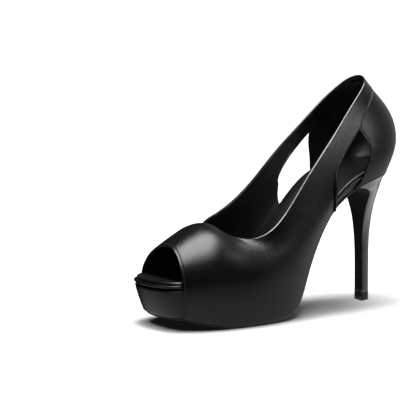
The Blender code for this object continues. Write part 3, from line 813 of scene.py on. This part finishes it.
verts = []
faces = []
thread_faces = []
for path, lift in seam_paths:
    d = np.concatenate([[0], np.cumsum(np.linalg.norm(np.diff(path, axis=0), axis=1))])
    count = int(d[-1] / STITCH_PITCH)
    for k in range(2 * count):
        is_hole = k % 2
        length = HOLE_LENGTH if is_hole else STITCH_LENGTH
        width = HOLE_WIDTH if is_hole else STITCH_WIDTH
        lifted = HOLE_LIFT if is_hole else STITCH_LIFT
        q = (k + 1) * STITCH_PITCH / 2
        at = np.array([np.interp(q, d, path[:, c]) for c in range(3)])
        ahead = np.array([np.interp(q + LOOK_AHEAD, d, path[:, c]) for c in range(3)]) - at
        ahead /= np.linalg.norm(ahead) + 1e-9
        n = np.array([np.interp(q, d, lift[:, c]) for c in range(3)])
        n /= np.linalg.norm(n)
        across = np.cross(n, ahead)
        start = len(verts)
        for share, girth in STITCH_RINGS:
            for m in range(STITCH_SIDES):
                a = 2 * math.pi * m / STITCH_SIDES
                ring = (across * math.cos(a) + n * math.sin(a) * STITCH_FLATNESS) * width / 2 * girth
                verts.append(at + n * lifted + ahead * share * length + ring)
        spans = len(STITCH_RINGS) - 1
        for r in range(spans):
            for m in range(STITCH_SIDES):
                a = start + r * STITCH_SIDES + m
                b = start + r * STITCH_SIDES + (m + 1) % STITCH_SIDES
                faces.append([a, b, b + STITCH_SIDES, a + STITCH_SIDES])
        faces.append([start + m for m in range(STITCH_SIDES)][::-1])
        faces.append([start + spans * STITCH_SIDES + m for m in range(STITCH_SIDES)])
        thread_faces += [is_hole] * (spans * STITCH_SIDES + 2)

# Waxed thread is a shade paler than the calf and shines softly.
thread = leather("waxed black nylon thread", "#17171a", 0.4, 0.3, 0.03)
stitches = make_piece("edge_stitches", verts, faces, thread, "upper_leather")

# Between the stitches, flat near-black marks are painted shade standing for the needle holes. They set
# the stitches apart.
hole_shade_black = leather("painted shade of the needle holes", "#010101", 0.9, 0.5, 0.01, 0.0, 0.0)
stitches.data.materials.append(hole_shade_black)
for face, is_hole in zip(stitches.data.polygons, thread_faces):
    face.material_index = is_hole


# Toe wrap
# A strip of the same calf covers the front of the platform between two upright seams. Its top edge is
# folded over, and its ends run in under the stitched front edges of the vamp.
TOE_CENTRE_Y = 9.0
TOE_FOOT_X = -105.0
TOE_FOOT_Z = 9.8
TOE_TOP_X = -112.2
TOE_TOP_Z = 34.8
LIP_X = -112.9
LIP_THICK = 4.4
GAP = 0.3
WRAP_LEVELS = 14
WRAP_RUN = 20
WRAP_BULGE = 0.45
WRAP_THICK = 1.1
WRAP_ROUNDING = 0.5
SEAM_DEPTH = -0.35
SEAM_FORWARD = -0.5
# Row and depth of the two points at which each end runs in under the vamp
TUCKED_ENDS = ((0.1, -1.25), (0.3, -1.4))
TOP_SHARE = 0.8
SHARE_SAMPLES = 161
LEAST_LEVEL = 0.4
OUTER_TOE_POWER = 1.25


def share_at(s, z, side):
    """Height share at which the section at row s reaches height z."""
    s, z = np.broadcast_arrays(np.atleast_1d(np.asarray(s, float)), np.atleast_1d(np.asarray(z, float)))
    grid = np.linspace(0, TOP_SHARE, SHARE_SAMPLES)
    return np.array([
        np.interp(height, last_face(np.full_like(grid, row), grid, side)[:, 2], grid)
        for row, height in zip(s, z)
    ])


def inset_edge(s, z, side, inset):
    """Points at height z, moved level inward until they lie the inset inside the last's face."""
    s, z = np.broadcast_arrays(np.atleast_1d(np.asarray(s, float)), np.atleast_1d(np.asarray(z, float)))
    t = share_at(s, z, side)
    level = outward(s, t, side) * np.array([1, 1, 0])
    m = np.maximum(np.linalg.norm(level, axis=-1, keepdims=True), LEAST_LEVEL)
    p = last_face(s, t, side) - level / m * inset / m
    p[:, 2] = z
    p[s >= LAST_ROW - 1e-6, 1] = 0
    return p


def toe_arc(centre, end, n):
    """Quarter oval from the foremost point of the toe out to the seam, flatter on the outer side."""
    phi = np.linspace(0, math.pi / 2, n + 1)
    power = OUTER_TOE_POWER if end[1] < 0 else 1.0
    c = np.asarray(centre, float)
    e = np.asarray(end, float)
    x = e[0] + (c[0] - e[0]) * np.cos(phi) ** power
    y = c[1] + (e[1] - c[1]) * np.sin(phi)
    z = c[2] + (e[2] - c[2]) * np.sin(phi) ** 2
    return np.stack([x, y, z], 1)


wrap = []
for f in np.linspace(0, 1, WRAP_LEVELS + 1):
    halves = []
    for side in (-1, 1):
        z_top = section(0.0, side)[4] - LIP_THICK - GAP
        t = share_at(0.0, z_top, side)[0] * f
        seam = skin(0.0, t, side, SEAM_DEPTH) + np.array([SEAM_FORWARD, 0, 0])
        cz = TOE_FOOT_Z + (TOE_TOP_Z - LIP_THICK - GAP - TOE_FOOT_Z) * f
        cx = TOE_FOOT_X + (TOE_TOP_X - TOE_FOOT_X) * f - WRAP_BULGE * math.sin(math.pi * f)
        arc = toe_arc((cx, TOE_CENTRE_Y, cz), seam, WRAP_RUN)
        tuck = np.array([skin(row, t, side, depth) for row, depth in TUCKED_ENDS])
        halves.append(np.concatenate([arc, tuck]))
    wrap.append(np.concatenate([halves[0][::-1], halves[1][1:]]))
wrap = np.array(wrap)
across = wrap.shape[1]
verts = wrap.reshape(-1, 3)
faces = []
for k in range(WRAP_LEVELS):
    for j in range(across - 1):
        a = k * across + j
        faces.append([a, a + across, a + across + 1, a + 1])
make_piece(
    "toe_wrap_leather",
    *folded_sheet(verts, faces, WRAP_THICK, WRAP_ROUNDING, WRAP_THICK, sole=range(across)),
    calf, "wrap_leather", ["toe_wrap"])


# Insole
# A stiff board under a thin padded sock. The sock's rolled edge stands as a bead round the toe and along
# the waist, the covered rim of the board is a second bead below it, and a dark gap parts them from the
# platform.
PLAN_ROWS = np.concatenate([np.linspace(0.04, 8, 44), np.linspace(8.2, LAST_ROW, 34)])
LEAST_ROW_STEP = 0.1
CAP_COLUMNS = 6


def plan_rows(end):
    """Rows of an outline from the toe up to an end row."""
    return np.append(PLAN_ROWS[PLAN_ROWS < end - LEAST_ROW_STEP], end)


def stack(name, outer, inner, material, slot, replaces=(), crown=(0.0, 0.0)):
    """Solid from stacked outlines, each in two halves from toe to heel. Crown bulges its end faces."""
    outer = np.asarray(outer, float)
    inner = np.asarray(inner, float)
    levels, stations = outer.shape[:2]
    loops = np.concatenate([outer, inner[:, ::-1]], 1)
    round_count = loops.shape[1]
    verts = list(loops.reshape(-1, 3))
    faces = []
    for k in range(levels - 1):
        for j in range(round_count):
            a = k * round_count + j
            b = k * round_count + (j + 1) % round_count
            faces.append([a, b, b + round_count, a + round_count])
    for k, drop in ((0, crown[0]), (levels - 1, crown[1])):
        before = [k * round_count + j for j in range(stations)]
        for m in range(1, CAP_COLUMNS + 1):
            f = m / CAP_COLUMNS
            if m == CAP_COLUMNS:
                after = [k * round_count + round_count - 1 - j for j in range(stations)]
            else:
                after = list(range(len(verts), len(verts) + stations))
                sag = drop * (1 - (2 * f - 1) ** 2)
                verts.extend(outer[k] + (inner[k] - outer[k]) * f + np.array([0, 0, sag]))
            for j in range(stations - 1):
                faces.append([before[j], before[j + 1], after[j + 1], after[j]])
            before = after
    return make_piece(name, verts, faces, material, slot, replaces)


# Rows over which the lip at the toe turns into the edge at the side, and how its corner follows the seam
TOE_BLEND = 0.8
CORNER_FORWARD = 0.45
CORNER_OUT = 0.2
CORNER_BACK = 0.5
CORNER_IN = 0.35
SHOULDER_IN = 0.3
SHOULDER_FORWARD = 0.4
LIP_RUN = 16


def insole_outline(rows, side, toe_drop, side_drop, toe_back, inset):
    """One half outline of an insole layer, drop below the sock's top and set back behind the lip."""
    rows = np.asarray(rows, float)
    drop = side_drop + (toe_drop - side_drop) * np.clip(1 - rows / TOE_BLEND, 0, 1)
    p = inset_edge(rows, section(rows, side)[4] - drop, side, inset)
    seam = inset_edge(0.0, section(0.0, side)[4] - toe_drop, side, 0.0)[0]
    seam = seam + np.array([
        -CORNER_FORWARD + toe_back * CORNER_BACK, side * CORNER_OUT - side * toe_back * CORNER_IN, 0,
    ])
    shoulder = seam + np.array([0, -side * (inset + SHOULDER_IN - toe_back * CORNER_IN), 0])
    shoulder[0] = min(shoulder[0], p[0, 0] - SHOULDER_FORWARD)
    arc = toe_arc((LIP_X + toe_back, TOE_CENTRE_Y, TOE_TOP_Z - toe_drop), seam, LIP_RUN)
    return np.concatenate([arc, shoulder[None], p])


INSOLE_ROWS = plan_rows(LAST_ROW)
PEEP_X = -80.0
SOCK_DISH = -0.8
# Outlines of both beads from below upward, in millimetres
# Columns: toe_drop, side_drop, toe_back, inset
SOCK_LEVELS = [
    (0.9, 2.0, 4.2, 3.3), (0.3, 1.95, 3.5, 2.7), (-0.2, 1.5, 2.85, 2.4), (-0.85, 1.0, 2.6, 2.3),
    (-1.45, 0.5, 2.85, 2.4), (-1.7, 0.12, 3.4, 2.8), (-1.6, 0.0, 4.3, 3.5),
]
BOARD_LEVELS = [
    (2.9, 3.4, 3.2, 3.6), (2.65, 3.3, 1.1, 3.2), (2.5, 3.2, 0.45, 3.1), (2.1, 3.0, 0.08, 3.1),
    (1.6, 2.7, 0.0, 3.1), (1.1, 2.5, 0.08, 3.1), (0.7, 2.3, 0.45, 3.1), (0.55, 2.1, 1.1, 3.2),
    (0.5, 2.0, 4.0, 3.4),
]

# Unglazed sock leather hardly shines, so the inside of the shoe stays dark.
sock_leather = leather("matt black sock leather", "#040404", 0.5, 0.9, 0.08, 0.0, 0.15)
halves = {side: [insole_outline(INSOLE_ROWS, side, *level) for level in SOCK_LEVELS] for side in (-1, 1)}
sock = stack(
    "sock_lining", halves[-1], halves[1],
    sock_leather, "insole_leather", ["insole"], (0.0, SOCK_DISH))
# Its rolled edge is bound in calf, which is rubbed to a gloss where it shows in the peep toe.
sock.data.materials.append(calf)
sock.data.materials.append(burnished)
rim_faces = (len(SOCK_LEVELS) - 1) * 2 * halves[1][0].shape[0]
for face in sock.data.polygons:
    if face.index < rim_faces:
        face.material_index = 2 if face.center.x < PEEP_X * MM else 1
halves = {
    side: [insole_outline(INSOLE_ROWS, side, *level) for level in BOARD_LEVELS] for side in (-1, 1)
}
stack("insole_board", halves[-1], halves[1], calf, "insole_leather")


# Platform
# A light block under the ball of the foot that thins to a shank at the waist. Calf is drawn tight over
# it, and it shows as a narrow covered band in the side cut-outs.
INSOLE_THICK = 3.4
PLATFORM_INSET = WALL + GAP
WRAP_ROOM = 1.5
PLATFORM_FORWARD = 0.3
PLATFORM_TOE_RUN = 12
# Columns: height share, lift, further inset
PLATFORM_LEVELS = [
    (0.0, 0.0, 1.0), (0.0, 0.08, 0.4), (0.0, 0.5, 0.0), (0.25, 0.0, 0.0), (0.5, 0.0, 0.0),
    (0.75, 0.0, 0.0), (1.0, -0.7, 0.0), (1.0, -0.2, 0.25), (1.0, 0.0, 0.9),
]

halves = {-1: [], 1: []}
for side in (-1, 1):
    depth = INSOLE_THICK + (LIP_THICK - INSOLE_THICK) * np.clip(1 - INSOLE_ROWS / TOE_BLEND, 0, 1)
    top = section(INSOLE_ROWS, side)[4] - depth - GAP
    foot = section(INSOLE_ROWS, side)[0][:, 2]
    for f, lift, more in PLATFORM_LEVELS:
        z = foot + (top - foot) * f + lift
        p = inset_edge(INSOLE_ROWS, z, side, PLATFORM_INSET + more)
        cx = TOE_FOOT_X + (TOE_TOP_X - TOE_FOOT_X) * f + WRAP_ROOM + GAP + more
        cz = TOE_FOOT_Z + (TOE_TOP_Z - LIP_THICK - GAP - TOE_FOOT_Z) * f + lift
        end = p[0].copy()
        end[0] -= PLATFORM_FORWARD
        arc = toe_arc((cx, TOE_CENTRE_Y, cz), end, PLATFORM_TOE_RUN)
        halves[side].append(np.concatenate([arc, p]))
stack("platform_cover", halves[-1], halves[1], calf, "platform_leather", ["platform"])


# Outsole
# A thin leather sole, stained black and glued on a little inside the edge of the upper all round. Its
# edges are rounded, its toe springs clear of the table, and it ends at the heel's breast.
OUTSOLE_INSET = 2.0
OUTSOLE_END_ROW = 10.95
OUTSOLE_TOE_RUN = 14
FLAT_HEIGHT = 2.1
# Columns: depth below the foot of the last, further inset
OUTSOLE_LEVELS = [(2.1, 0.5), (1.95, 0.12), (1.6, 0.0), (0.7, 0.0), (0.45, 0.1), (0.4, 0.4)]

# Bare sole leather, stained and unpolished, so its edge stays duller than the calf above it.
sole_leather = leather("matt black stained sole leather", "#0a0a0a", 0.6, 0.5, 0.03)
rows = plan_rows(OUTSOLE_END_ROW)
halves = {-1: [], 1: []}
for side in (-1, 1):
    foot = section(rows, side)[0]
    for depth, more in OUTSOLE_LEVELS:
        p = skin(rows, 0.0, side, np.full(len(rows), -OUTSOLE_INSET - more))
        p[:, 2] = foot[:, 2] - depth
        toe = (TOE_FOOT_X + OUTSOLE_INSET + more, TOE_CENTRE_Y, TOE_FOOT_Z - depth)
        q = np.concatenate([toe_arc(toe, p[0], OUTSOLE_TOE_RUN)[:-1], p])
        q[:, 2] = np.maximum(q[:, 2], FLAT_HEIGHT - depth)
        halves[side].append(q)
stack("outsole_leather", halves[-1], halves[1], sole_leather, "outsole", ["outsole"])


# Heel
# A tall slender heel of hard plastic with a flat breast, wrapped in thin smooth leather. It is polished
# to a satin gloss that mirrors the table. The breast is covered in a matt leather, and the same darker
# leather is laid on the faces turned down under the seat; its darkness there and on the breast is painted
# shade.

# Rings from the tip up to the seat, in millimetres
# Columns: breast_z back_z breast_x back_x half_width
HEEL_RINGS = [
    (6.8, 6.8, 80.3, 89.6, 4.8),
    (19.0, 19.0, 80.2, 89.6, 4.9),
    (39.0, 39.0, 80.0, 89.7, 5.0),
    (55.0, 55.0, 79.7, 90.2, 6.1),
    (69.0, 69.0, 79.4, 91.7, 8.8),
    (76.0, 76.6, 79.1, 92.6, 11.4),
    (83.0, 84.5, 78.6, 93.9, 15.0),
    (89.5, 92.5, 77.2, 95.6, 19.2),
    (92.6, 99.5, 72.0, 97.5, 23.4),
]
HEEL_FRONT_ROW = 11.05
HEEL_RUN = 18
RINGS_BETWEEN = 5
BREAST_FACES = -0.12
FACES_DOWN = -0.75
HEEL_EDGE = 0.5
EDGE_ANGLE = 38


def heel_ring(row, side):
    """Half a ring of the heel, flat at the breast and round at the back."""
    front_z, back_z, front_x, back_x, half = row
    phi = np.linspace(0, math.pi / 2, HEEL_RUN + 1)
    x = front_x + (back_x - front_x) * np.sin(phi)
    z = front_z + (back_z - front_z) * np.sin(phi)
    return np.stack([x, side * half * np.cos(phi), z], 1)


def through_rings(rings, between):
    """More rings on smooth curves through the given ones."""
    rings = np.asarray(rings, float)
    step = np.linalg.norm(np.diff(rings, axis=0), axis=2).mean(1)
    d = np.concatenate([[0], np.cumsum(step)])
    slope = np.gradient(rings, d, axis=0)
    made = [rings[0]]
    for k in range(len(rings) - 1):
        w = step[k]
        for m in range(1, between + 1):
            u = m / between
            p = (2 * u ** 3 - 3 * u ** 2 + 1) * rings[k] + (u ** 3 - 2 * u ** 2 + u) * w * slope[k]
            p = p + (3 * u ** 2 - 2 * u ** 3) * rings[k + 1] + (u ** 3 - u ** 2) * w * slope[k + 1]
            made.append(p)
    return made


def soften(ob, width_mm):
    """Rounds the sharp edges of a piece."""
    bevel = ob.modifiers.new("worn edges", "BEVEL")
    bevel.width = width_mm * MM
    bevel.segments = 3
    bevel.limit_method = "ANGLE"
    bevel.angle_limit = math.radians(EDGE_ANGLE)


# Polished to a clear glaze over almost no grain, so that it mirrors the table and the dark beyond it.
heel_leather = leather("satin black polished heel leather", "#151717", 0.2, 0.3, 0.002, 1.0, 1.0)
# The breast is left matt and takes only a broad weak sheen. Its darker colour is painted shade, here and
# under the seat.
breast_cover_and_shade = leather("matt black heel breast cover and painted shade", "#080808", 0.55, 0.5, 0.03, 0.0, 0.25)
halves = {}
for side in (-1, 1):
    rings = [heel_ring(row, side) for row in HEEL_RINGS]
    seat_rows = HEEL_FRONT_ROW + (LAST_ROW - HEEL_FRONT_ROW) * np.linspace(0, 1, HEEL_RUN + 1)
    seat = skin(seat_rows, 0.0, side, np.full(HEEL_RUN + 1, -GAP))
    seat[:, 2] = section(seat_rows, side)[0][:, 2] - GAP
    seat[-1, 1] = 0
    rings.append(seat)
    halves[side] = through_rings(rings, RINGS_BETWEEN)
heel = stack("heel_cover", halves[-1], halves[1], heel_leather, "heel_cover", ["heel"])
heel.data.materials.append(breast_cover_and_shade)
# Faces turned forward or down take the darker matt cover: painted shade on the breast and under the seat
for face in heel.data.polygons:
    if face.normal.x < BREAST_FACES or face.normal.z < FACES_DOWN:
        face.material_index = 1
soften(heel, HEEL_EDGE)


# Heel tip
# A small lift of hard black rubber, pinned under the heel and ground flush with it. A core a little
# smaller than the lift fills the joint between the two.
TIP_HEIGHT = 6.5
TIP_MIDDLE = 3.2
TIP_EDGE = 0.4
CORE_SHARE = 0.9

# Hard rubber with a fine moulded grain, duller than the polished heel above it.
tip_rubber = leather("hard black rubber", "#141414", 0.5, 0.4, 0.02)
first_ring = HEEL_RINGS[0]
halves = {}
for side in (-1, 1):
    halves[side] = [heel_ring((z, z) + first_ring[2:], side) for z in (0.0, TIP_MIDDLE, TIP_HEIGHT)]
    middle = halves[side][-1].mean(0) * np.array([1, 0, 1])
    core = (halves[side][-1] - middle) * np.array([CORE_SHARE, CORE_SHARE, 0])
    for z in (TIP_HEIGHT, first_ring[0]):
        halves[side].append(core + middle * np.array([1, 1, 0]) + np.array([0, 0, z]))
tip = stack("heel_tip_rubber", halves[-1], halves[1], tip_rubber, "heel_tip", ["heel_tip"])
soften(tip, TIP_EDGE)
